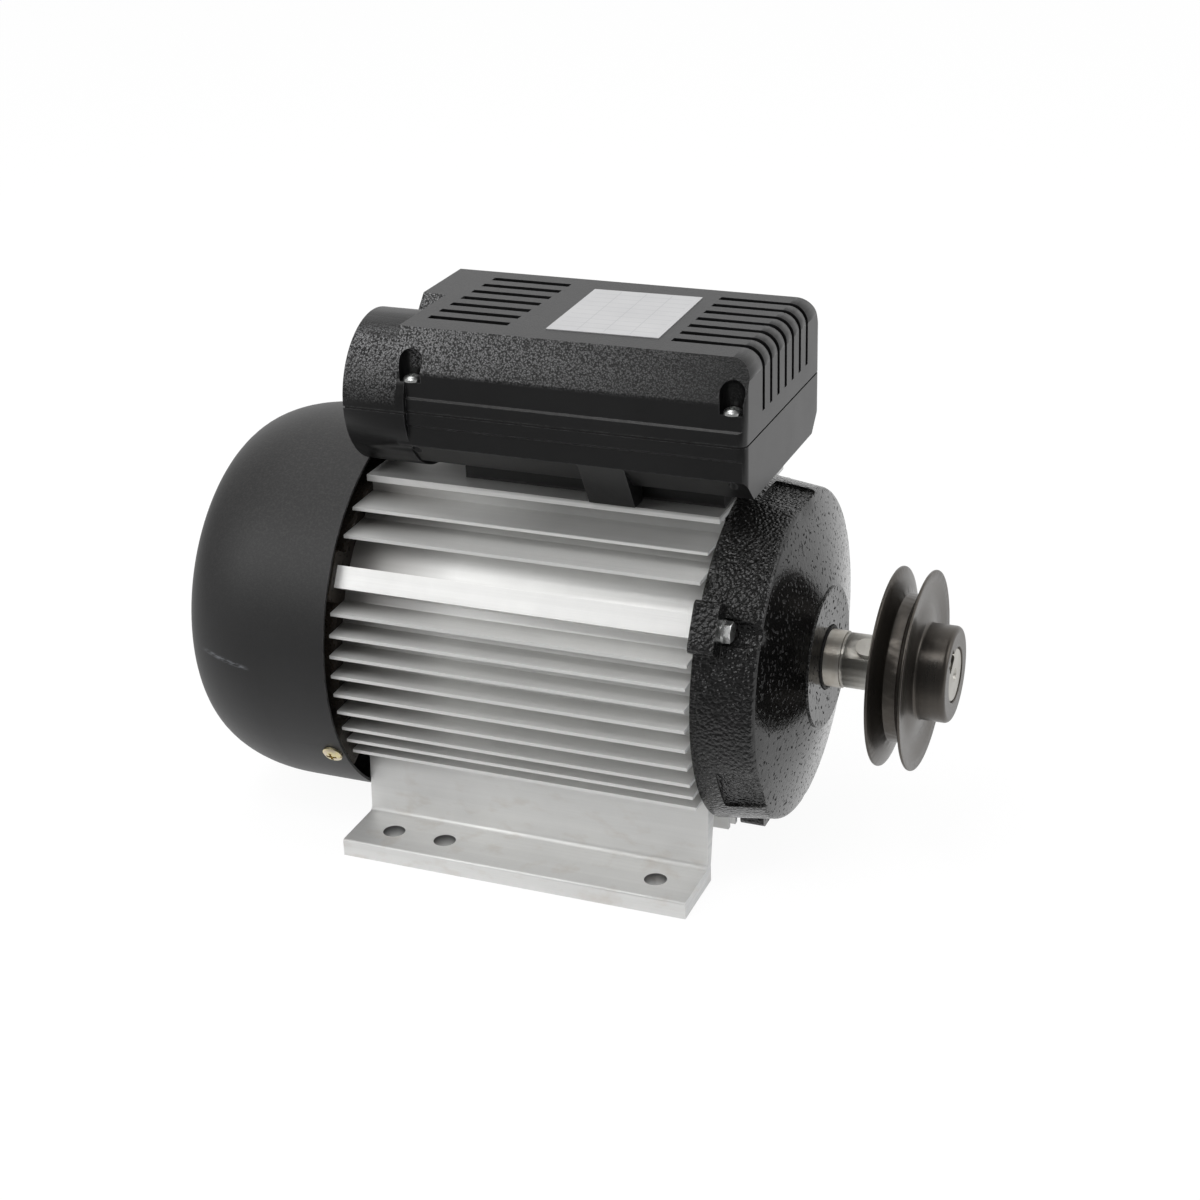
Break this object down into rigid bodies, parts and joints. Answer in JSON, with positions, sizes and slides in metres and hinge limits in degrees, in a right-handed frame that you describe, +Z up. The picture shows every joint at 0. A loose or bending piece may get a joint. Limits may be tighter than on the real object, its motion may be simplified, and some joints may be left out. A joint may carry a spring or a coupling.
{
  "type": "single-phase electric motor",
  "caption": "Foot-mounted single-phase motor with a finned housing, a fan cover, a terminal and capacitor box on top and a V-belt pulley on its shaft.",
  "frame": {"origin": "centre of the long foot-hole rectangle, in the plane the feet stand on", "axes": "+X along the shaft towards the pulley, +Z up, +Y towards the cable gland side"},
  "size_m": [0.3307, 0.1744, 0.2363],
  "materials": {
    "aluminium_extrusion": "bright mill finish",
    "electrical_steel": "stacked sheet",
    "copper_windings": "enamelled wire, varnished",
    "black_casting": "gloss black paint over a rough casting",
    "brown_casting": "brown primer",
    "zinc_steel": "zinc plated",
    "ground_steel": "ground",
    "black_rubber": "matt",
    "board_laminate": "phenolic board",
    "brass_contacts": "bright",
    "black_steel": "matt black powder coat",
    "yellow_zinc": "yellow zinc plated",
    "black_plastic": "fine moulded grain",
    "silver_foil": "matt foil",
    "white_plastic": "smooth",
    "blackened_steel": "oiled, dark"
  },
  "bodies": {
    "frame": {"housing": "aluminium_extrusion", "stator_core": "electrical_steel", "stator_windings": "copper_windings", "drive_shield": "black_casting", "rear_shield": "brown_casting", "drive_shield_bolts": "zinc_steel", "drive_shield_washers": "zinc_steel", "rear_shield_bolts": "zinc_steel", "rear_shield_washers": "zinc_steel", "drive_bearing_outer": "ground_steel", "rear_bearing_outer": "ground_steel", "wave_washer": "ground_steel", "shaft_seal": "black_rubber", "switch_board": "board_laminate", "switch_contacts": "brass_contacts", "fan_cover": "black_steel", "fan_cover_screws": "yellow_zinc", "box_base": "black_plastic", "box_lid": "black_plastic", "box_gasket": "black_rubber", "base_gasket": "black_rubber", "lid_screws": "zinc_steel", "base_screws": "zinc_steel", "rating_label": "silver_foil", "run_capacitor": "white_plastic", "start_capacitor": "black_plastic", "capacitor_clips": "zinc_steel", "terminal_board": "board_laminate", "terminal_studs": "brass_contacts", "terminal_links": "brass_contacts", "terminal_nuts": "brass_contacts", "earth_screw": "brass_contacts", "cable_gland": "black_plastic"},
    "rotor": {"shaft": "ground_steel", "pulley_key": "ground_steel", "rotor_core": "electrical_steel", "rotor_cage": "aluminium_extrusion", "drive_bearing_inner": "ground_steel", "rear_bearing_inner": "ground_steel", "governor": "zinc_steel", "fan": "black_plastic", "fan_clip": "zinc_steel", "pulley": "blackened_steel", "pulley_set_screw": "blackened_steel"},
    "collar": {"governor_collar": "board_laminate"},
    "drive_balls": {"drive_bearing_balls": "ground_steel"},
    "rear_balls": {"rear_bearing_balls": "ground_steel"}
  },
  "joints": [
    {"name": "rotor_spin", "type": "hinge", "parent": "frame", "child": "rotor", "pos_m": [0, 0, 0.09], "axis": [1, 0, 0], "continuous": true},
    {"name": "drive_ball_spin", "type": "hinge", "parent": "frame", "child": "drive_balls", "pos_m": [0.1025, 0, 0.09], "axis": [1, 0, 0], "continuous": true},
    {"name": "rear_ball_spin", "type": "hinge", "parent": "frame", "child": "rear_balls", "pos_m": [-0.0925, 0, 0.09], "axis": [1, 0, 0], "continuous": true},
    {"name": "governor_collar_slide", "type": "slide", "parent": "rotor", "child": "collar", "axis": [1, 0, 0], "range_m": [0, 0.004]}
  ],
  "couplings": [
    {"joint": "drive_ball_spin", "follows": "rotor_spin", "ratio": 0.4},
    {"joint": "rear_ball_spin", "follows": "rotor_spin", "ratio": 0.4}
  ]
}
